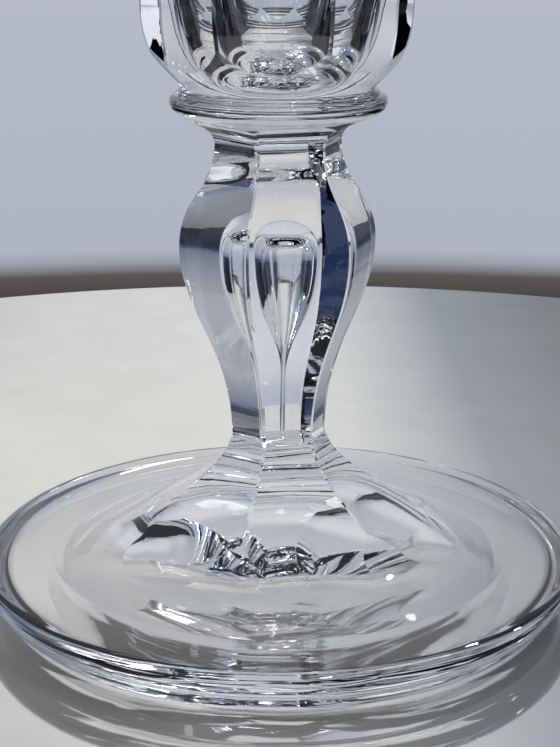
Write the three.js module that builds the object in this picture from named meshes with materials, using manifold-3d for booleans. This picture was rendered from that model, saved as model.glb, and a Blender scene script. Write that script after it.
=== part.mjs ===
// A cut crystal drinking glass: foot, stem, collar and bowl, joined hot on flat round or six-sided faces.
// Millimetres, +Z up. The origin is the middle of the ring that the glass rests on, and one flat of the
// six-sided stem faces -Y.
import * as THREE from 'three';
import { mergeVertices } from 'three/addons/utils/BufferGeometryUtils.js';
import Module from 'manifold-3d';

// Foot: a round plate with a deep hollow underside and a six-sided spread cut into its dome
const FOOT_DIAMETER = 75;
const FOOT_HEIGHT = 20.6;
const RIM_TOP = 6.1;
const RIM_MIDDLE = 4.5;
const RIM_UNDERSIDE = 2.7;
const RIM_ROUNDING = 1.3;
const RIM_TURN_DIAMETER = 71.2;
const RIM_TURN_RISE = 0.4;
const PLATE_EDGE_DIAMETER = 67;
const PLATE_EDGE_RISE = 0.25;
const REST_OUTER_DIAMETER = 57;
const REST_WIDTH = 1.5;
const HOLLOW_DEPTH = 5.7;
const HOLLOW_CROWN_DIAMETER = 18;
const HOLLOW_FLANK_DIAMETER = 34;
const HOLLOW_FLANK_RISE = 2.8;
const DOME_DIAMETER = 58;
const DOME_EDGE_RUN = 5.5;
const DOME_EDGE_RISE = 0.8;
const DOME_BEND_DIAMETER = 26.8;
const DOME_BEND_RISE = 1.8;
const DOME_TOP_DIAMETER = 24;
const SPREAD_END_FLATS = 48;
const SPREAD_END_RISE = 1;
const SPREAD_BEND_FLATS = 39;
const SPREAD_BEND_RISE = 1.7;
const SPREAD_KNEE_FLATS = 35.2;
const SPREAD_KNEE_RISE = 3;
const SPREAD_SLOPE_FLATS = 26;
const SPREAD_SLOPE_RISE = 6.1;
const SPREAD_THROAT_FLATS = 13.2;
const SPREAD_THROAT_DROP = 5;

// Stem: a six-sided baluster, widest above its middle, with a drop-shaped air tear inside
const STEM_LENGTH = 39.8;
const STEM_SIDES = 6;
const STEM_FOOT_FLATS = 10.4;
const STEM_FOOT_HOLD = 12;
const STEM_WIDEST_FLATS = 21.3;
const STEM_WIDEST_HEIGHT = 24.6;
const STEM_BELLY_HOLD = 9;
const STEM_SHOULDER_HOLD = 5.4;
const NECK_FLATS = 13.6;
const NECK_DROP = 3.2;
const NECK_FLARE = 2.2;
const NECK_BLANK_DIAMETER = 17.4;
const STEM_BLANK_DIAMETER = 28;
const STEM_TOP_DIAMETER = 21.8;
const TEAR_DIAMETER = 8;
const TEAR_CROWN_HEIGHT = 2.1;
const TEAR_CROWN_HOLD = 1.6;
const TEAR_CROWN_DIAMETER = 6.2;
const TEAR_SHOULDER = 23.4;
const TEAR_TAPER_HOLD = 6.3;
const TEAR_TAIL_START = 9;
const TEAR_TAIL_DIAMETER = 0.6;

// Collar: a pressed ring with a large bead below a small one
const COLLAR_HEIGHT = 3.2;
const COLLAR_DIAMETER = 25.9;
const COLLAR_UNDERCUT = 0.5;
const COLLAR_BEAD_HEIGHT = 1.7;
const COLLAR_GROOVE_DEPTH = 0.85;
const COLLAR_GROOVE_HEIGHT = 2.5;

// Bowl: a tall thick-walled cup with a round base, cut outside with flat panels that end in arches
const BOWL_HEIGHT = 114.4;
const BOWL_SEAT_DIAMETER = 22.4;
const BASE_BULGE_DIAMETER = 29;
const BASE_BULGE_HEIGHT = 3.3;
const BOWL_HIP_DIAMETER = 34.8;
const BOWL_HIP_HOLD = 4;
const BOWL_HIP_HEIGHT = 10;
const BOWL_BELLY_DIAMETER = 41.4;
const BOWL_UPPER_DIAMETER = 46.6;
const LIP_DIAMETER = 48;
const LIP_THICKNESS = 1.6;
const BOWL_FLOOR = 3;
const CAVITY_FLOOR_DIAMETER = 17.2;
const CAVITY_TURN_DIAMETER = 18.1;
const CAVITY_TURN_HEIGHT = 9.5;
const CAVITY_HIP_DIAMETER = 19;
const CAVITY_HIP_HEIGHT = 17;
const CAVITY_BELLY_DIAMETER = 23.6;
const CAVITY_BELLY_HEIGHT = 28.6;
const CAVITY_UPPER_DIAMETER = 37;
const CAVITY_UPPER_HEIGHT = 70;
const PANEL_SIDES = 8;
const PANEL_DEPTH = 1.9;
const PANEL_START = 2.6;
const PANEL_START_RUN = 7.5;
const PANEL_TOP_BAND = 26;
const PANEL_TOP_RUN = 10;
const PANEL_TURN_DEGREES = -15;

// Steps of the rounded faces, and how far a cutting form runs past the piece that it trims
const ROUND_STEPS = 48;
const TEAR_STEPS = 18;
const CURVE_STEPS = 6;
const WALL_STEPS = 9;
const RUN_OUT_STEPS = 8;
const HEIGHT_HALVINGS = 30;
const OVERRUN = 1;
const MERGE_DISTANCE = 1e-4;

const wasm = await Module();
wasm.setup();

/** A closed geometry as a solid, without its normals, its seam and its zero-area triangles. */
function solidFrom(geometry) {
  geometry.deleteAttribute('normal');
  geometry.deleteAttribute('uv');
  const merged = mergeVertices(geometry, MERGE_DISTANCE);
  const corners = merged.index.array;
  const kept = [];
  for (let i = 0; i < corners.length; i += 3) {
    const [a, b, c] = [corners[i], corners[i + 1], corners[i + 2]];
    if (a !== b && b !== c && c !== a) kept.push(a, b, c);
  }
  return new wasm.Manifold(new wasm.Mesh({
    numProp: 3,
    vertProperties: new Float32Array(merged.attributes.position.array),
    triVerts: new Uint32Array(kept),
  }));
}

/** A profile of (radius, height) points, from the axis at the bottom to the axis at the top, spun about Z. */
function spin(points, steps, turn = 0) {
  const geometry = new THREE.LatheGeometry(points, steps, turn);
  geometry.rotateX(Math.PI / 2);
  return solidFrom(geometry);
}

/** The same for a many-sided form: radii are measured to the flats, and one flat faces -Y before the turn. */
function spinFlats(points, sides, turn = 0) {
  const halfSide = Math.PI / sides;
  const corners = points.map((p) => new THREE.Vector2(p.x / Math.cos(halfSide), p.y));
  return spin(corners, sides, turn + halfSide);
}

/** A named mesh of clear glass with its seat at the given height. */
function glassPiece(name, solid, height, color) {
  const mesh = solid.getMesh();
  const geometry = new THREE.BufferGeometry();
  geometry.setAttribute('position', new THREE.BufferAttribute(mesh.vertProperties, 3));
  geometry.setIndex(new THREE.BufferAttribute(mesh.triVerts, 1));
  geometry.computeVertexNormals();
  const material = new THREE.MeshStandardMaterial({
    color, roughness: 0.03, metalness: 0, transparent: true, opacity: 0.35,
  });
  const piece = new THREE.Mesh(geometry, material);
  piece.name = name;
  piece.position.z = height;
  return piece;
}

/** The round plate: hollow, resting ring, gently rising underside, rounded rim and a dome steep at its top. */
function footBlank() {
  const rim = FOOT_DIAMETER / 2;
  const restOuter = REST_OUTER_DIAMETER / 2;
  const restInner = restOuter - REST_WIDTH;
  const dome = DOME_DIAMETER / 2;
  const domeTop = DOME_TOP_DIAMETER / 2;
  const top = FOOT_HEIGHT + OVERRUN;
  const outline = new THREE.Path();
  outline.moveTo(0, HOLLOW_DEPTH);
  outline.bezierCurveTo(
    HOLLOW_CROWN_DIAMETER / 2, HOLLOW_DEPTH,
    HOLLOW_FLANK_DIAMETER / 2, HOLLOW_FLANK_RISE,
    restInner, 0,
  );
  outline.lineTo(restOuter, 0);
  outline.lineTo(PLATE_EDGE_DIAMETER / 2, PLATE_EDGE_RISE);
  outline.quadraticCurveTo(RIM_TURN_DIAMETER / 2, RIM_TURN_RISE, rim - RIM_ROUNDING, RIM_UNDERSIDE);
  outline.quadraticCurveTo(rim, (RIM_UNDERSIDE + RIM_MIDDLE) / 2, rim, RIM_MIDDLE);
  outline.quadraticCurveTo(rim, RIM_TOP, rim - RIM_ROUNDING, RIM_TOP);
  outline.lineTo(dome, RIM_TOP);
  outline.bezierCurveTo(
    dome - DOME_EDGE_RUN, RIM_TOP + DOME_EDGE_RISE,
    DOME_BEND_DIAMETER / 2, RIM_TOP + DOME_BEND_RISE,
    domeTop, top,
  );
  outline.lineTo(0, top);
  return spin(outline.getPoints(CURVE_STEPS), ROUND_STEPS);
}

/** The six-sided spread: it falls from the stem in even slopes and flattens out where it meets the dome. */
function footSpread() {
  const stem = STEM_FOOT_FLATS / 2;
  const end = RIM_TOP + SPREAD_END_RISE;
  const outline = new THREE.Path();
  outline.moveTo(0, -OVERRUN);
  outline.lineTo(FOOT_DIAMETER, -OVERRUN);
  outline.lineTo(FOOT_DIAMETER, end);
  outline.lineTo(SPREAD_END_FLATS / 2, end);
  outline.quadraticCurveTo(
    SPREAD_BEND_FLATS / 2, RIM_TOP + SPREAD_BEND_RISE,
    SPREAD_KNEE_FLATS / 2, RIM_TOP + SPREAD_KNEE_RISE,
  );
  outline.bezierCurveTo(
    SPREAD_SLOPE_FLATS / 2, RIM_TOP + SPREAD_SLOPE_RISE,
    SPREAD_THROAT_FLATS / 2, FOOT_HEIGHT - SPREAD_THROAT_DROP,
    stem, FOOT_HEIGHT,
  );
  outline.lineTo(0, FOOT_HEIGHT);
  return spinFlats(outline.getPoints(CURVE_STEPS), STEM_SIDES);
}

/** The round stem before it is cut: it only shows where the neck spreads under the collar. */
function stemBlank() {
  const blank = STEM_BLANK_DIAMETER / 2;
  const neck = NECK_BLANK_DIAMETER / 2;
  const top = STEM_TOP_DIAMETER / 2;
  const neckHeight = STEM_LENGTH - NECK_DROP;
  const middle = (STEM_WIDEST_HEIGHT + neckHeight) / 2;
  const outline = new THREE.Path();
  outline.moveTo(0, -OVERRUN);
  outline.lineTo(blank, -OVERRUN);
  outline.lineTo(blank, STEM_WIDEST_HEIGHT);
  outline.bezierCurveTo(blank, middle, neck, middle, neck, neckHeight);
  outline.quadraticCurveTo(neck, STEM_LENGTH - NECK_DROP / 2, top, STEM_LENGTH);
  outline.lineTo(0, STEM_LENGTH);
  return spin(outline.getPoints(CURVE_STEPS), ROUND_STEPS);
}

/** The six flats of the stem: narrow at the foot, widest at the belly, narrow at the neck and out again. */
function stemFlats() {
  const foot = STEM_FOOT_FLATS / 2;
  const belly = STEM_WIDEST_FLATS / 2;
  const neck = NECK_FLATS / 2;
  const out = STEM_TOP_DIAMETER / 2 + OVERRUN / 2;
  const neckHeight = STEM_LENGTH - NECK_DROP;
  const outline = new THREE.Path();
  outline.moveTo(0, 0);
  outline.lineTo(foot, 0);
  outline.bezierCurveTo(
    foot, STEM_FOOT_HOLD, belly, STEM_WIDEST_HEIGHT - STEM_BELLY_HOLD, belly, STEM_WIDEST_HEIGHT,
  );
  outline.bezierCurveTo(
    belly, STEM_WIDEST_HEIGHT + STEM_SHOULDER_HOLD, neck, neckHeight - STEM_SHOULDER_HOLD, neck, neckHeight,
  );
  outline.quadraticCurveTo(neck, neckHeight + NECK_FLARE, out, STEM_LENGTH);
  outline.lineTo(out, STEM_LENGTH + OVERRUN);
  outline.lineTo(0, STEM_LENGTH + OVERRUN);
  return spinFlats(outline.getPoints(CURVE_STEPS), STEM_SIDES);
}

/** The air inside the stem: a blunt top, a long taper and a hair-thin tail that ends at the foot. */
function tear() {
  const body = TEAR_DIAMETER / 2;
  const tail = TEAR_TAIL_DIAMETER / 2;
  const top = TEAR_SHOULDER + TEAR_CROWN_HEIGHT;
  const outline = new THREE.Path();
  outline.moveTo(0, -OVERRUN);
  outline.lineTo(tail, -OVERRUN);
  outline.lineTo(tail, TEAR_TAIL_START);
  outline.bezierCurveTo(
    tail, TEAR_TAIL_START + TEAR_TAPER_HOLD, body, TEAR_SHOULDER - TEAR_TAPER_HOLD, body, TEAR_SHOULDER,
  );
  outline.bezierCurveTo(
    body, TEAR_SHOULDER + TEAR_CROWN_HOLD, TEAR_CROWN_DIAMETER / 2, top, 0, top,
  );
  return spin(outline.getPoints(CURVE_STEPS), TEAR_STEPS);
}

/** The ring between stem and bowl, rounded out from the stem's top and back in to the bowl's seat. */
function collarRing() {
  const seat = STEM_TOP_DIAMETER / 2;
  const bead = COLLAR_DIAMETER / 2;
  const groove = bead - COLLAR_GROOVE_DEPTH;
  const bowlSeat = BOWL_SEAT_DIAMETER / 2;
  const outline = new THREE.Path();
  outline.moveTo(0, 0);
  outline.lineTo(seat, 0);
  outline.quadraticCurveTo(bead, COLLAR_UNDERCUT, bead, COLLAR_BEAD_HEIGHT);
  outline.quadraticCurveTo(bead, COLLAR_GROOVE_HEIGHT, groove, COLLAR_GROOVE_HEIGHT);
  outline.quadraticCurveTo(groove, COLLAR_HEIGHT, bowlSeat, COLLAR_HEIGHT);
  outline.lineTo(0, COLLAR_HEIGHT);
  return spin(outline.getPoints(CURVE_STEPS), ROUND_STEPS);
}

/** The bowl's round base, from its seat on the collar out to the hip. */
function baseCurve() {
  return new THREE.CubicBezierCurve(
    new THREE.Vector2(BOWL_SEAT_DIAMETER / 2, 0),
    new THREE.Vector2(BASE_BULGE_DIAMETER / 2, BASE_BULGE_HEIGHT),
    new THREE.Vector2(BOWL_HIP_DIAMETER / 2, BOWL_HIP_HEIGHT - BOWL_HIP_HOLD),
    new THREE.Vector2(BOWL_HIP_DIAMETER / 2, BOWL_HIP_HEIGHT),
  );
}

/** The bowl's round wall above its hip, from the hip to the lip. */
function wallCurve() {
  const third = (BOWL_HEIGHT - BOWL_HIP_HEIGHT) / 3;
  return new THREE.CubicBezierCurve(
    new THREE.Vector2(BOWL_HIP_DIAMETER / 2, BOWL_HIP_HEIGHT),
    new THREE.Vector2(BOWL_BELLY_DIAMETER / 2, BOWL_HIP_HEIGHT + third),
    new THREE.Vector2(BOWL_UPPER_DIAMETER / 2, BOWL_HEIGHT - third),
    new THREE.Vector2(LIP_DIAMETER / 2, BOWL_HEIGHT - LIP_THICKNESS / 2),
  );
}

/** The cup as it is before cutting: round outside, a rounded lip and a cavity that ends low in the base. */
function bowlBlank() {
  const lip = LIP_DIAMETER / 2;
  const round = LIP_THICKNESS / 2;
  const lipHeight = BOWL_HEIGHT - round;
  const inner = lip - LIP_THICKNESS;
  const hip = CAVITY_HIP_DIAMETER / 2;
  const lipArc = new THREE.Path().absarc(lip - round, lipHeight, round, 0, Math.PI).getPoints(CURVE_STEPS);
  const inside = new THREE.Path();
  inside.moveTo(inner, lipHeight);
  inside.bezierCurveTo(
    CAVITY_UPPER_DIAMETER / 2, CAVITY_UPPER_HEIGHT,
    CAVITY_BELLY_DIAMETER / 2, CAVITY_BELLY_HEIGHT,
    hip, CAVITY_HIP_HEIGHT,
  );
  inside.bezierCurveTo(
    CAVITY_TURN_DIAMETER / 2, CAVITY_TURN_HEIGHT,
    CAVITY_FLOOR_DIAMETER / 2, BOWL_FLOOR,
    0, BOWL_FLOOR,
  );
  const profile = [
    new THREE.Vector2(0, 0),
    ...baseCurve().getPoints(CURVE_STEPS),
    ...wallCurve().getPoints(WALL_STEPS).slice(1),
    ...lipArc.slice(1, -1),
    ...inside.getPoints(WALL_STEPS),
  ];
  return spin(profile, ROUND_STEPS);
}

/** The point of the bowl's round outside at the given height. */
function outsideAt(height) {
  const curve = height < BOWL_HIP_HEIGHT ? baseCurve() : wallCurve();
  let below = 0;
  let above = 1;
  for (let i = 0; i < HEIGHT_HALVINGS; i += 1) {
    const middle = (below + above) / 2;
    if (curve.getPoint(middle).y < height) below = middle;
    else above = middle;
  }
  return curve.getPoint(below);
}

/** The panels' flats: the blank's outline cut to a depth that runs out at both ends of the panels. */
function panelFlats() {
  const start = PANEL_START + PANEL_START_RUN;
  const end = BOWL_HEIGHT - PANEL_TOP_BAND;
  const heights = [];
  for (let i = 0; i < RUN_OUT_STEPS; i += 1) {
    const share = i / RUN_OUT_STEPS;
    heights.push(PANEL_START / 2 + (start - PANEL_START / 2) * share);
    heights.push(start + (end - PANEL_TOP_RUN - start) * share);
    heights.push(end - PANEL_TOP_RUN + (PANEL_TOP_RUN + OVERRUN) * share);
  }
  heights.push(end + OVERRUN);
  heights.sort((low, high) => low - high);
  const flats = heights.map((height) => {
    const fromStart = Math.min(1, (height - PANEL_START) / PANEL_START_RUN);
    const fromEnd = Math.min(1, (end - height) / PANEL_TOP_RUN);
    const runOut = (1 - fromStart) ** 2 + (1 - fromEnd) ** 2;
    return new THREE.Vector2(outsideAt(height).x - PANEL_DEPTH * (1 - runOut), height);
  });
  const clear = LIP_DIAMETER;
  const profile = [
    new THREE.Vector2(0, -OVERRUN),
    new THREE.Vector2(clear, -OVERRUN),
    new THREE.Vector2(clear, flats[0].y),
    ...flats,
    new THREE.Vector2(clear, end + OVERRUN),
    new THREE.Vector2(clear, BOWL_HEIGHT + OVERRUN),
    new THREE.Vector2(0, BOWL_HEIGHT + OVERRUN),
  ];
  return spinFlats(profile, PANEL_SIDES, THREE.MathUtils.degToRad(PANEL_TURN_DEGREES));
}

const stemSeat = FOOT_HEIGHT;
const collarSeat = stemSeat + STEM_LENGTH;
const bowlSeat = collarSeat + COLLAR_HEIGHT;

const glass = new THREE.Group();
glass.add(
  glassPiece('foot', footBlank().intersect(footSpread()), 0, 0xe6edf2),
  glassPiece('stem', stemBlank().intersect(stemFlats()).subtract(tear()), stemSeat, 0xe9eff3),
  glassPiece('collar', collarRing(), collarSeat, 0xe4ebf1),
  glassPiece('bowl', bowlBlank().intersect(panelFlats()), bowlSeat, 0xe9f0f4),
);

export default glass;
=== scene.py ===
"""A cut crystal drinking glass on a pale floor: foot, stem with an air tear, collar and panelled bowl.

Every piece is one closed mesh, swept from the same sizes as the CAD solids and finer than they are.
Sizes are in millimetres and are written out in metres. The glass stands on its middle, +Z is up.
"""
import math

import bpy
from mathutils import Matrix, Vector


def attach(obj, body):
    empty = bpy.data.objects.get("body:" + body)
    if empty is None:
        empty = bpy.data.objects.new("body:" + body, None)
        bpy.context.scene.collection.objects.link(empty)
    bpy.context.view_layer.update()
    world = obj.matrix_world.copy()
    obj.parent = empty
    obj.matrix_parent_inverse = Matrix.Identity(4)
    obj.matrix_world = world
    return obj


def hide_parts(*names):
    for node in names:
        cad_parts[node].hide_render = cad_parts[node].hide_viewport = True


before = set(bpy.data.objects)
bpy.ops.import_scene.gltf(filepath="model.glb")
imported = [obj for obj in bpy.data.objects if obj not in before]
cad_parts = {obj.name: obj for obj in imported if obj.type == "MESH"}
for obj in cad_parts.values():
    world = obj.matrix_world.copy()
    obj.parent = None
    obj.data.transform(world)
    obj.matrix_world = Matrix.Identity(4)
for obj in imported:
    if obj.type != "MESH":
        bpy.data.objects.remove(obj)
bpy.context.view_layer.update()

MM = 0.001

# Foot
RIM_RADIUS, RIM_TOP, RIM_MIDDLE, RIM_UNDERSIDE, RIM_ROUNDING = 37.5, 6.1, 4.5, 2.7, 1.3
HOLLOW = [(0, 5.7), (9, 5.7), (17, 2.8), (27, 0)]
UNDERSIDE = [
    [(28.5, 0), (33.5, 0.25)],
    [(33.5, 0.25), (35.6, 0.4), (36.2, 2.7)],
]
FOOT_TOP = 20.6
DOME = [(29, 6.1), (23.5, 6.9), (13.4, 7.9), (12, 21.6)]
SPREAD_LOW = [(24, 7.1), (19.5, 7.8), (17.6, 9.1)]
SPREAD_HIGH = [(17.6, 9.1), (13, 12.2), (6.6, 15.6), (5.2, 20.6)]

# Stem, with heights from its seat on the foot
STEM_LENGTH = 39.8
STEM_SIDES = 6
STEM_FLATS = [
    [(5.2, 0), (5.2, 12), (10.65, 15.6), (10.65, 24.6)],
    [(10.65, 24.6), (10.65, 30), (6.8, 31.2), (6.8, 36.6)],
    [(6.8, 36.6), (6.8, 38.8), (11.4, 39.8)],
]
STEM_ROUND = [
    [(14, 0), (14, 24.6)],
    [(14, 24.6), (14, 30.6), (8.7, 30.6), (8.7, 36.6)],
    [(8.7, 36.6), (8.7, 38.2), (10.9, 39.8)],
]
TEAR = [
    [(0.3, 0), (0.3, 9)],
    [(0.3, 9), (0.3, 15.3), (4, 17.1), (4, 23.4)],
    [(4, 23.4), (4, 25), (3.1, 25.5), (0, 25.5)],
]

# Collar, with heights from its seat on the stem
COLLAR_HEIGHT = 3.2
COLLAR = [
    [(10.9, 0), (12.95, 0.5), (12.95, 1.7)],
    [(12.95, 1.7), (12.95, 2.5), (12.1, 2.5)],
    [(12.1, 2.5), (12.1, 3.2), (11.2, 3.2)],
]

# Bowl, with heights from its seat on the collar
BOWL_HEIGHT = 114.4
BOWL_BASE = [(11.2, 0), (14.5, 3.3), (17.4, 6), (17.4, 10)]
BOWL_WALL = [(17.4, 10), (20.7, 44.8), (23.3, 79.6), (24, 113.6)]
LIP_THICKNESS = 1.6
CAVITY = [
    [(22.4, 113.6), (18.5, 70), (11.8, 28.6), (9.5, 17)],
    [(9.5, 17), (9.05, 9.5), (8.6, 3), (0, 3)],
]
PANEL_SIDES, PANEL_DEPTH, PANEL_TURN = 8, 1.9, math.radians(-15)
PANEL_START, PANEL_START_RUN, PANEL_TOP_BAND, PANEL_TOP_RUN = 2.6, 7.5, 26, 10

# Depth by which each cut edge is polished off
ARRIS = 0.1

# Rings laid along each piece's curves; an END is where a flat runs out into the round
HOLLOW_STEPS, EDGE_STEPS, DOME_STEPS = 24, 10, 40
SPREAD_LOW_STEPS, SPREAD_HIGH_STEPS, SPREAD_END_STEPS = 24, 30, 32
TEAR_STEPS, STEM_STEPS, STEM_END_STEPS = 24, 30, 20
COLLAR_STEPS = 12
BOWL_SEAT_STEPS, BOWL_BASE_STEPS, BOWL_BASE_TOP = 8, 12, 12
PANEL_STEPS, PANEL_END_STEPS, TOP_BAND_STEPS = 40, 20, 10
LIP_STEPS, CAVITY_STEPS = 10, 40
# Columns across each flat, and across half of each round strip between two flats
COLUMNS = {"foot": (8, 12), "stem": (8, 10), "collar": (0, 12), "bowl": (8, 10)}
# Heights between which the flats' corners are looked for, and how close a ring may come to them
FOOT_CUSP_LOW, FOOT_CUSP_HIGH, PETAL_END_HIGH, STEM_CUSP_LOW = 7.6, 14, 8.5, 36
NUDGE, RING_GAP, CUSP_GAP = 0.001, 0.01, 0.02
CURVE_HALVINGS, CROSSING_HALVINGS = 40, 50
KEY_DIGITS = 5

# Glass; the waves left by polishing are drawn out level, and their depth is in metres
GLASS_COLOR, GLASS_IOR = (0.985, 0.992, 1.0, 1), 1.545
CUT_WAVES, BOWL_WAVES, WAVE_STRETCH, WAVE_DETAIL, WAVE_DEPTH = 900, 500, (0.15, 0.15, 1), 2, 0.000015

# Stage, in metres; the camera stands this far clockwise of the glass's front
CAMERA_TURN = math.radians(-13)
CAMERA_PITCH = math.radians(16.74)
CAMERA_ASIDE, CAMERA_BACK, CAMERA_HEIGHT = 0.00018, 0.1875, 0.0847
CLIP_START = 0.01
# Focal length and picture height in the photo's pixels, and the sensor in mm
FOCAL_PIXELS, PHOTO_HEIGHT, SENSOR = 1572.85, 747, 36
FLOOR_RADIUS, FLOOR_HALF_WIDTH, FLOOR_STEPS = 0.165, 0.074, 256
FLOOR_GAP = 0.0001
FLOOR_ROUGHNESS, FLOOR_METALLIC, GRAIN_SCALE, GRAIN_DARK = 0.05, 0.8, 90, 0.90
LAMP_DISTANCE = 1.2

# Colours at elevations in degrees: of the backdrop behind the glass, and of the room around it
BACKDROP = [
    (-90, (0.04, 0.04, 0.04)), (-25, (0.02, 0.02, 0.02)), (-23, (0.02, 0.02, 0.03)),
    (-22, (0.90, 0.85, 0.78)), (-20.8, (0.02, 0.02, 0.02)), (-19.4, (0.03, 0.03, 0.06)),
    (-18.6, (0.75, 0.78, 0.85)), (-17.6, (0.50, 0.42, 0.30)), (-17, (0.02, 0.02, 0.02)),
    (-15.8, (0.02, 0.02, 0.04)), (-15.2, (0.60, 0.62, 0.70)), (-14.6, (0.03, 0.03, 0.03)),
    (-13.1, (0.10, 0.09, 0.09)), (-12.4, (0.43, 0.46, 0.54)), (-4, (0.46, 0.49, 0.57)),
    (4, (0.60, 0.62, 0.68)), (14, (0.64, 0.66, 0.70)), (20, (0.67, 0.68, 0.70)),
    (32, (0.67, 0.67, 0.67)), (42, (0.46, 0.47, 0.49)), (60, (0.58, 0.59, 0.61)),
    (90, (0.56, 0.57, 0.60)),
]
ROOM = [
    (-90, (0.04, 0.04, 0.04)), (-40, (0.02, 0.02, 0.02)), (-26, (0.01, 0.01, 0.01)),
    (-11, (0.01, 0.012, 0.03)), (-9.5, (0.03, 0.04, 0.09)), (-7.5, (0.17, 0.19, 0.25)),
    (-3, (0.24, 0.27, 0.34)), (6, (0.36, 0.38, 0.43)), (20, (0.42, 0.44, 0.50)),
    (50, (0.48, 0.50, 0.54)), (90, (0.56, 0.57, 0.60)),
]
# Angles from straight behind at which the backdrop starts to give way to the room, and has done so
BACKDROP_EDGE = (22, 36)
# Soft round panels: azimuth, elevation, reach and width of the soft edge in degrees, colour
PANELS = [
    (-160, 30, 27, 10, (0.86, 0.90, 1.00)),
    (72, 36, 21, 8, (0.20, 0.34, 0.64)),
    (138, 25, 34, 8, (0.015, 0.03, 0.085)),
    (-112, 0, 20, 6, (0.04, 0.07, 0.16)),
]
# Painted shade on the floor: its tone and tint at distances in mm to the right of the glass, darker toward
# the right
FLOOR_PAINTED_SHADE = [
    (-75, (0.88, 0.87, 0.83)), (-45, (0.97, 0.95, 0.90)), (-10, (1.00, 0.98, 0.93)),
    (12, (0.92, 0.92, 0.89)), (24, (0.72, 0.74, 0.74)), (34, (0.52, 0.55, 0.57)),
    (58, (0.42, 0.43, 0.44)), (75, (0.38, 0.36, 0.33)),
]
# Name, azimuth and elevation in degrees, diameter in metres, watts
LAMPS = [
    ("key", 38, 50, 0.045, 5), ("fill", 100, 62, 0.5, 4), ("glint_right", 75, 30, 0.07, 2),
    ("glint_left", -125, 28, 0.07, 2), ("glint_front", 160, 45, 0.07, 2),
]


def on_curve(points, t):
    """The point at t on the Bezier curve with these control points."""
    while len(points) > 1:
        points = [(p[0] + (q[0] - p[0]) * t, p[1] + (q[1] - p[1]) * t) for p, q in zip(points, points[1:])]
    return points[0]


def sampled(curves, steps):
    """Points along joined curves, with steps on each."""
    points = [curves[0][0]]
    for curve in curves:
        points += [on_curve(curve, (i + 1) / steps) for i in range(steps)]
    return points


def radius_at(curves, height):
    """The radius at a height of joined curves whose height runs one way."""
    for curve in curves:
        low, high = sorted((curve[0][1], curve[-1][1]))
        if low <= height <= high:
            break
    start, end = (0.0, 1.0) if curve[0][1] < curve[-1][1] else (1.0, 0.0)
    for _ in range(CURVE_HALVINGS):
        middle = (start + end) / 2
        if on_curve(curve, middle)[1] < height:
            start = middle
        else:
            end = middle
    return on_curve(curve, (start + end) / 2)[0]


def crossing(above_zero, low, high):
    """The height between low and high at which above_zero changes sign."""
    sign = above_zero(low) > 0
    for _ in range(CROSSING_HALVINGS):
        middle = (low + high) / 2
        if (above_zero(middle) > 0) == sign:
            low = middle
        else:
            high = middle
    return (low + high) / 2


def graded(start, end, steps):
    """Heights from start to end that crowd together at start."""
    return [start + (end - start) * (i / steps) ** 2 for i in range(steps + 1)]


def row(height, radius, flats=None, crease=False, joint=False):
    """One ring of a cut piece; joint marks the flat face between it and the next ring."""
    return {"z": height, "r": radius, "a": flats, "crease": crease, "joint": joint}


def cut_body(name, rows, seat, sides, turn, flat_steps, round_steps, materials):
    """A closed body whose rings are circles trimmed by flats, or points on the axis."""
    half = math.pi / sides
    span = flat_steps + 2 * round_steps
    columns = sides * span
    edge_columns = (round_steps, round_steps + flat_steps)
    vertices, rings, angles = [], [], []
    for item in rows:
        radius, flats = item["r"], item["a"]
        if radius == 0:
            rings.append([len(vertices)] * columns)
            angles.append(None)
            vertices.append((0, 0, item["z"]))
            continue
        edge = 0.0
        if flats is not None:
            radius = min(radius, flats / math.cos(half) - ARRIS)
            if flats < radius:
                edge = math.acos(flats / radius)
        ring = []
        for side in range(sides):
            middle = turn + side * 2 * half
            for step in range(span):
                if step < round_steps:
                    angle = -half + (half - edge) * step / round_steps
                    x, y = radius * math.cos(angle), radius * math.sin(angle)
                elif step < round_steps + flat_steps:
                    share = (step - round_steps) / flat_steps
                    y = radius * math.sin(edge) * (2 * share - 1)
                    x = radius * math.cos(edge)
                else:
                    share = (step - round_steps - flat_steps) / round_steps
                    angle = edge + (half - edge) * share
                    x, y = radius * math.cos(angle), radius * math.sin(angle)
                ring.append(len(vertices))
                vertices.append((
                    x * math.sin(middle) + y * math.cos(middle),
                    -x * math.cos(middle) + y * math.sin(middle),
                    item["z"],
                ))
        rings.append(ring)
        angles.append(edge)
    faces, slots, sharp = [], [], []
    for i, (lower, upper) in enumerate(zip(rings, rings[1:])):
        for j in range(columns):
            k = (j + 1) % columns
            faces.append((lower[j], lower[k], upper[k], upper[j]))
            slots.append(1 if rows[i]["joint"] else 0)
            cut = (angles[i] or 0) > 0 or (angles[i + 1] or 0) > 0
            if cut and j % span in edge_columns and not rows[i]["joint"]:
                sharp.append((lower[j], upper[j]))
    for i, ring in enumerate(rings):
        if rows[i]["crease"]:
            sharp += [(ring[j], ring[(j + 1) % columns]) for j in range(columns)]
    return closed_mesh(name, vertices, faces, slots, sharp, seat, materials)


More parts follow.
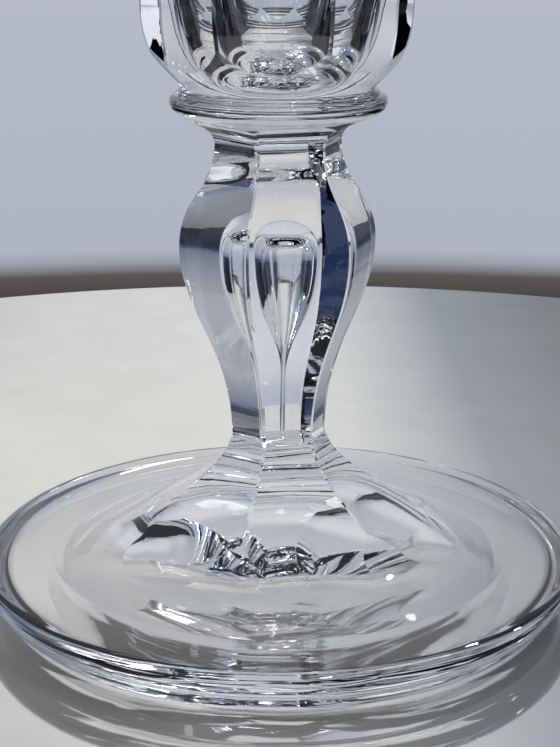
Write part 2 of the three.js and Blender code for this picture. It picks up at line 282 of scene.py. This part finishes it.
def closed_mesh(name, vertices, faces, slots, sharp, seat, materials):
    """Joins equal corners, drops empty faces and makes the object, with its seat at the given height."""
    keys, where, index = {}, [], []
    for x, y, z in vertices:
        key = tuple(round(v, KEY_DIGITS) for v in (x, y, z))
        if key not in keys:
            keys[key] = len(where)
            where.append((x * MM, y * MM, (z + seat) * MM))
        index.append(keys[key])
    kept, kept_slots = [], []
    for face, slot in zip(faces, slots):
        corners = []
        for corner in (index[v] for v in face):
            if corner not in corners:
                corners.append(corner)
        if len(corners) > 2:
            kept.append(corners)
            kept_slots.append(slot)
    mesh = bpy.data.meshes.new(name)
    mesh.from_pydata(where, [], kept)
    mesh.polygons.foreach_set("material_index", kept_slots)
    mesh.polygons.foreach_set("use_smooth", [True] * len(kept))
    marked = {tuple(sorted((index[a], index[b]))) for a, b in sharp}
    flags = [tuple(sorted(edge.vertices)) in marked for edge in mesh.edges]
    mesh.attributes.new("sharp_edge", "BOOLEAN", "EDGE").data.foreach_set("value", flags)
    mesh.validate()
    for material in materials:
        mesh.materials.append(material)
    piece = bpy.data.objects.new(name, mesh)
    bpy.context.scene.collection.objects.link(piece)
    return piece


def foot_rows():
    """The foot from its hollow's middle, by the rest ring, rim, dome and spread, to its top's middle."""
    dome, spread = [DOME], [SPREAD_LOW, SPREAD_HIGH]
    ridge = math.cos(math.pi / STEM_SIDES)
    cusp = crossing(
        lambda z: radius_at(dome, z) - radius_at(spread, z) / ridge + ARRIS, FOOT_CUSP_LOW, FOOT_CUSP_HIGH)
    reach = crossing(
        lambda z: radius_at(dome, z) - radius_at(spread, z), SPREAD_LOW[0][1] + NUDGE, PETAL_END_HIGH)
    rows = [row(z, r, crease=z == 0) for r, z in sampled([HOLLOW], HOLLOW_STEPS)]
    rows += [row(z, r, crease=z == 0) for r, z in sampled(UNDERSIDE, EDGE_STEPS)[:-1]]
    band = RIM_RADIUS - RIM_ROUNDING
    rim = [
        [(band, RIM_UNDERSIDE), (RIM_RADIUS, (RIM_UNDERSIDE + RIM_MIDDLE) / 2), (RIM_RADIUS, RIM_MIDDLE)],
        [(RIM_RADIUS, RIM_MIDDLE), (RIM_RADIUS, RIM_TOP), (band, RIM_TOP)],
    ]
    rows += [row(z, r) for r, z in sampled(rim, EDGE_STEPS)]
    rows += [row(RIM_TOP, (DOME[0][0] + band) / 2)]
    low_dome = [row(z, r) for r, z in sampled([DOME], DOME_STEPS) if z < reach - RING_GAP]
    low_dome[0]["crease"] = True
    heights = {z for _, z in sampled([SPREAD_HIGH], SPREAD_HIGH_STEPS)}
    heights |= {z for _, z in sampled([SPREAD_LOW], SPREAD_LOW_STEPS)}
    heights = {z for z in heights if z > cusp + CUSP_GAP} | set(graded(reach, cusp, SPREAD_END_STEPS))
    rows += low_dome
    for z in sorted(heights):
        rows.append(row(z, radius_at(dome, z), radius_at(spread, z), crease=z == FOOT_TOP))
    rows[-1]["joint"] = True
    return rows + [row(FOOT_TOP, 0)]


def stem_rows():
    """The stem from the top of the tear, down to its bottom face, and up its flats to the collar's seat."""
    ridge = math.cos(math.pi / STEM_SIDES)
    cusp = crossing(
        lambda z: radius_at(STEM_ROUND, z) - radius_at(STEM_FLATS, z) / ridge + ARRIS,
        STEM_CUSP_LOW, STEM_LENGTH - RING_GAP)
    reach = crossing(
        lambda z: radius_at(STEM_ROUND, z) - radius_at(STEM_FLATS, z), cusp, STEM_LENGTH - NUDGE)
    inside = sampled(TEAR, TEAR_STEPS)[::-1]
    rows = [row(inside[0][1], 0)] + [row(z, r) for r, z in inside[1:]]
    rows[-1].update(crease=True, joint=True)
    heights = {z for _, z in sampled(STEM_FLATS, STEM_STEPS) if z < cusp - CUSP_GAP}
    heights |= set(graded(reach, cusp, STEM_END_STEPS)) | {STEM_LENGTH}
    for z in sorted(heights):
        crease = z in (0, STEM_LENGTH)
        rows.append(row(z, radius_at(STEM_ROUND, z), radius_at(STEM_FLATS, z), crease))
    rows[-1].update(joint=True, a=None)
    return rows + [row(STEM_LENGTH, 0)]


def collar_rows():
    """The collar from its lower seat, round its beads, to its upper seat."""
    rows = [row(0, 0, joint=True)] + [row(z, r) for r, z in sampled(COLLAR, COLLAR_STEPS)]
    rows[1]["crease"] = True
    rows[-1].update(crease=True, joint=True)
    return rows + [row(COLLAR_HEIGHT, 0)]


def bowl_rows():
    """The bowl from its seat, up its panelled outside, over the lip and down into the cavity."""
    outside = [BOWL_BASE, BOWL_WALL]
    ridge = math.cos(math.pi / PANEL_SIDES)
    end = BOWL_HEIGHT - PANEL_TOP_BAND

    def flats(z):
        from_start = min(1, (z - PANEL_START) / PANEL_START_RUN)
        from_end = min(1, (end - z) / PANEL_TOP_RUN)
        return radius_at(outside, z) - PANEL_DEPTH * (1 - (1 - from_start) ** 2 - (1 - from_end) ** 2)

    def past_ridge(z):
        return radius_at(outside, z) - flats(z) / ridge + ARRIS

    lower = crossing(past_ridge, PANEL_START, PANEL_START + PANEL_START_RUN)
    upper = crossing(past_ridge, end - PANEL_TOP_RUN, end)
    top = BOWL_WALL[-1][1]
    heights = set(graded(PANEL_START, lower, PANEL_END_STEPS)) | set(graded(end, upper, PANEL_END_STEPS))
    heights |= {lower + (upper - lower) * i / PANEL_STEPS for i in range(1, PANEL_STEPS)}
    heights |= {PANEL_START * i / BOWL_SEAT_STEPS for i in range(BOWL_SEAT_STEPS)}
    heights |= {end + (top - end) * i / TOP_BAND_STEPS for i in range(1, TOP_BAND_STEPS + 1)}
    heights |= {lower + (BOWL_BASE_TOP - lower) * i / BOWL_BASE_STEPS for i in range(1, BOWL_BASE_STEPS)}
    rows = [row(0, 0, joint=True)]
    for z in sorted(heights):
        cut = flats(z) if PANEL_START < z < end else None
        rows.append(row(z, radius_at(outside, z), cut, crease=z == 0))
    half = LIP_THICKNESS / 2
    centre = BOWL_WALL[-1][0] - half
    arc = [math.pi * i / LIP_STEPS for i in range(1, LIP_STEPS)]
    rows += [row(top + half * math.sin(t), centre + half * math.cos(t)) for t in arc]
    rows += [row(z, r) for r, z in sampled(CAVITY, CAVITY_STEPS)[:-1]]
    return rows + [row(CAVITY[-1][-1][1], 0)]


def crystal(name, wave_scale):
    """Clear colourless crystal, polished by hand, which leaves faint level waves on it."""
    material = bpy.data.materials.new(name)
    material.use_nodes = True
    nodes, links = material.node_tree.nodes, material.node_tree.links
    shader = nodes["Principled BSDF"]
    shader.inputs["Base Color"].default_value = GLASS_COLOR
    shader.inputs["Transmission Weight"].default_value = 1
    shader.inputs["Roughness"].default_value = 0
    shader.inputs["IOR"].default_value = GLASS_IOR
    place = nodes.new("ShaderNodeTexCoord")
    stretch = nodes.new("ShaderNodeMapping")
    stretch.inputs["Scale"].default_value = WAVE_STRETCH
    waves = nodes.new("ShaderNodeTexNoise")
    waves.inputs["Scale"].default_value = wave_scale
    waves.inputs["Detail"].default_value = WAVE_DETAIL
    bump = nodes.new("ShaderNodeBump")
    bump.inputs["Strength"].default_value = 1
    bump.inputs["Distance"].default_value = WAVE_DEPTH
    links.new(place.outputs["Object"], stretch.inputs["Vector"])
    links.new(stretch.outputs["Vector"], waves.inputs["Vector"])
    links.new(waves.outputs["Fac"], bump.inputs["Height"])
    links.new(bump.outputs["Normal"], shader.inputs["Normal"])
    return material


def joint_face():
    """A hot joint, where light passes from glass to glass without bending."""
    material = bpy.data.materials.new("joint")
    material.use_nodes = True
    nodes, links = material.node_tree.nodes, material.node_tree.links
    nodes.remove(nodes["Principled BSDF"])
    clear = nodes.new("ShaderNodeBsdfTransparent")
    links.new(clear.outputs["BSDF"], nodes["Material Output"].inputs["Surface"])
    return material


def fill_ramp(ramp, stops):
    """Puts the stops, each a place from 0 to 1 and a colour, on a colour ramp."""
    elements = ramp.color_ramp.elements
    while len(elements) > 1:
        elements.remove(elements[-1])
    for i, (place_at, color) in enumerate(stops):
        element = elements[0] if i == 0 else elements.new(place_at)
        element.position = place_at
        element.color = (*color, 1)


def direction(azimuth, elevation):
    """The unit vector at an azimuth in degrees, clockwise from behind the glass, and an elevation."""
    around, up = math.radians(azimuth) - CAMERA_TURN, math.radians(elevation)
    return Vector((math.sin(around) * math.cos(up), math.cos(around) * math.cos(up), math.sin(up)))


def floor_material():
    """Pale floor with painted shade that darkens it toward its right, with a faint grain and a polish that
    mirrors the glass.
    """
    material = bpy.data.materials.new("floor")
    material.use_nodes = True
    nodes, links = material.node_tree.nodes, material.node_tree.links
    shader = nodes["Principled BSDF"]
    shader.inputs["Roughness"].default_value = FLOOR_ROUGHNESS
    shader.inputs["Metallic"].default_value = FLOOR_METALLIC
    place = nodes.new("ShaderNodeTexCoord")
    grain = nodes.new("ShaderNodeTexNoise")
    grain.inputs["Scale"].default_value = GRAIN_SCALE
    speckle = nodes.new("ShaderNodeValToRGB")
    speckle.color_ramp.elements[0].color = (GRAIN_DARK, GRAIN_DARK, GRAIN_DARK, 1)
    speckle.color_ramp.elements[1].color = (1, 1, 1, 1)
    aside = nodes.new("ShaderNodeVectorMath")
    aside.operation = "DOT_PRODUCT"
    aside.inputs[1].default_value = direction(90, 0)
    share = nodes.new("ShaderNodeMapRange")
    left, right = FLOOR_PAINTED_SHADE[0][0], FLOOR_PAINTED_SHADE[-1][0]
    share.inputs["From Min"].default_value = left * MM
    share.inputs["From Max"].default_value = right * MM
    # Painted shade: the floor's base colour and specular tint darken toward its right
    shade_ramp = nodes.new("ShaderNodeValToRGB")
    fill_ramp(shade_ramp, [((at - left) / (right - left), tone) for at, tone in FLOOR_PAINTED_SHADE])
    grain_and_shade = nodes.new("ShaderNodeMix")
    grain_and_shade.data_type = "RGBA"
    grain_and_shade.blend_type = "MULTIPLY"
    grain_and_shade.inputs["Factor"].default_value = 1
    links.new(place.outputs["Object"], grain.inputs["Vector"])
    links.new(grain.outputs["Fac"], speckle.inputs["Fac"])
    links.new(place.outputs["Object"], aside.inputs[0])
    links.new(aside.outputs["Value"], share.inputs["Value"])
    links.new(share.outputs["Result"], shade_ramp.inputs["Fac"])
    links.new(shade_ramp.outputs["Color"], grain_and_shade.inputs["A"])
    links.new(speckle.outputs["Color"], grain_and_shade.inputs["B"])
    links.new(grain_and_shade.outputs["Result"], shader.inputs["Base Color"])
    links.new(grain_and_shade.outputs["Result"], shader.inputs["Specular Tint"])
    return material


def floor_slab():
    """The floor, straight at its sides and round at its ends, the far one where the photo's ground ends."""
    ring = []
    for i in range(FLOOR_STEPS):
        around = 2 * math.pi * i / FLOOR_STEPS
        x = max(-FLOOR_HALF_WIDTH, min(FLOOR_HALF_WIDTH, FLOOR_RADIUS * math.cos(around)))
        y = FLOOR_RADIUS * math.sin(around)
        ring.append((
            x * math.cos(CAMERA_TURN) - y * math.sin(CAMERA_TURN),
            x * math.sin(CAMERA_TURN) + y * math.cos(CAMERA_TURN), 0))
    mesh = bpy.data.meshes.new("floor")
    mesh.from_pydata(ring, [], [tuple(range(FLOOR_STEPS))])
    mesh.materials.append(floor_material())
    floor = bpy.data.objects.new("floor", mesh)
    floor.location.z = -FLOOR_GAP
    bpy.context.scene.collection.objects.link(floor)


def surroundings():
    """A world shaded by height, as BACKDROP behind the glass and ROOM elsewhere, under the PANELS."""
    world = bpy.data.worlds.new("studio")
    bpy.context.scene.world = world
    world.use_nodes = True
    nodes, links = world.node_tree.nodes, world.node_tree.links
    place = nodes.new("ShaderNodeTexCoord")
    parts = nodes.new("ShaderNodeSeparateXYZ")
    height = nodes.new("ShaderNodeMapRange")
    height.inputs["From Min"].default_value = -1
    links.new(place.outputs["Generated"], parts.inputs["Vector"])
    links.new(parts.outputs["Z"], height.inputs["Value"])

    def graded_sky(bands):
        ramp = nodes.new("ShaderNodeValToRGB")
        fill_ramp(ramp, [((math.sin(math.radians(angle)) + 1) / 2, color) for angle, color in bands])
        links.new(height.outputs["Result"], ramp.inputs["Fac"])
        return ramp.outputs["Color"]

    def within(azimuth, elevation, inner, outer):
        toward = nodes.new("ShaderNodeVectorMath")
        toward.operation = "DOT_PRODUCT"
        toward.inputs[1].default_value = direction(azimuth, elevation)
        inside = nodes.new("ShaderNodeMapRange")
        inside.interpolation_type = "SMOOTHSTEP"
        inside.inputs["From Min"].default_value = math.cos(math.radians(outer))
        inside.inputs["From Max"].default_value = math.cos(math.radians(inner))
        links.new(place.outputs["Generated"], toward.inputs[0])
        links.new(toward.outputs["Value"], inside.inputs["Value"])
        return inside.outputs["Result"]

    def over(shade, cover, color):
        blend = nodes.new("ShaderNodeMix")
        blend.data_type = "RGBA"
        links.new(cover, blend.inputs["Factor"])
        links.new(shade, blend.inputs["A"])
        if isinstance(color, tuple):
            blend.inputs["B"].default_value = (*color, 1)
        else:
            links.new(color, blend.inputs["B"])
        return blend.outputs["Result"]

    shade = over(graded_sky(ROOM), within(0, 0, *BACKDROP_EDGE), graded_sky(BACKDROP))
    for azimuth, elevation, reach, edge, color in PANELS:
        shade = over(shade, within(azimuth, elevation, reach - edge, reach), color)
    links.new(shade, nodes["Background"].inputs["Color"])


def lamps():
    """The key, a wide soft fill and three small lamps for glints, all facing the glass."""
    for name, azimuth, elevation, size, power in LAMPS:
        lamp = bpy.data.lights.new(name, "AREA")
        lamp.shape, lamp.size, lamp.energy = "DISK", size, power
        source = bpy.data.objects.new(name, lamp)
        away = direction(azimuth, elevation)
        source.location = away * LAMP_DISTANCE
        source.rotation_euler = away.to_track_quat("Z", "Y").to_euler()
        bpy.context.scene.collection.objects.link(source)


def photo_camera():
    """The camera at the photo's place: low, close and a little left of the stem's front flat."""
    lens = bpy.data.cameras.new("camera")
    lens.sensor_width = SENSOR
    lens.lens = SENSOR * FOCAL_PIXELS / PHOTO_HEIGHT
    lens.clip_start = CLIP_START
    camera = bpy.data.objects.new("camera", lens)
    camera.location = (
        CAMERA_ASIDE * math.cos(CAMERA_TURN) + CAMERA_BACK * math.sin(CAMERA_TURN),
        CAMERA_ASIDE * math.sin(CAMERA_TURN) - CAMERA_BACK * math.cos(CAMERA_TURN),
        CAMERA_HEIGHT)
    camera.rotation_euler = (math.pi / 2 - CAMERA_PITCH, 0, CAMERA_TURN)
    bpy.context.scene.collection.objects.link(camera)
    bpy.context.scene.camera = camera


def main():
    photo_camera()
    floor_slab()
    surroundings()
    lamps()
    bpy.context.scene.view_settings.view_transform = "Standard"
    joint = joint_face()
    cut, blown = crystal("crystal_cut", CUT_WAVES), crystal("crystal_bowl", BOWL_WAVES)
    collar_seat = FOOT_TOP + STEM_LENGTH
    bowl_seat = collar_seat + COLLAR_HEIGHT
    pieces = [
        ("foot", foot_rows(), 0, STEM_SIDES, 0, cut),
        ("stem", stem_rows(), FOOT_TOP, STEM_SIDES, 0, cut),
        ("collar", collar_rows(), collar_seat, STEM_SIDES, 0, cut),
        ("bowl", bowl_rows(), bowl_seat, PANEL_SIDES, PANEL_TURN, blown),
    ]
    for node, rows, seat, sides, turn, glass in pieces:
        piece = cut_body(node + "_glass", rows, seat, sides, turn, *COLUMNS[node], [glass, joint])
        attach(piece, "root")
        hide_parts(node)


main()
